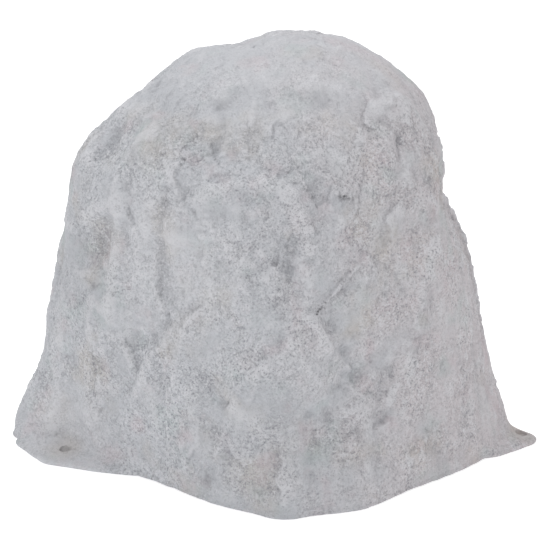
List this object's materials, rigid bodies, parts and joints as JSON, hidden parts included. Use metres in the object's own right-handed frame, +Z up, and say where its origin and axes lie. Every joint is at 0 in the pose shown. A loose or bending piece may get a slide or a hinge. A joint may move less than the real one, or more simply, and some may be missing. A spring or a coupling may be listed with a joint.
{
  "type": "landscape rock cover",
  "caption": "Hollow artificial boulder, open underneath, that covers pond equipment, with two loose stakes for the holes in its foot tabs.",
  "frame": {"origin": "ground level under the middle of the shell, between its front and back and near the middle of its width", "axes": "+X from the left stake tab to the right one, +Y from front to back, +Z up"},
  "size_m": [0.7438, 0.5536, 0.59],
  "materials": {
    "cast_stone_resin": "cast stone texture, matt grey with cool and warm tints",
    "galvanised_steel": "dull hot-dip zinc"
  },
  "bodies": {
    "rock": {"rock_shell": "cast_stone_resin"},
    "left_stake": {"left_stake": "galvanised_steel"},
    "right_stake": {"right_stake": "galvanised_steel"}
  },
  "joints": [
    {"name": "left_stake_lift", "type": "slide", "parent": "rock", "child": "left_stake", "axis": [0, 0, 1], "range_m": [0, 0.25]},
    {"name": "right_stake_lift", "type": "slide", "parent": "rock", "child": "right_stake", "axis": [0, 0, 1], "range_m": [0, 0.25]}
  ]
}
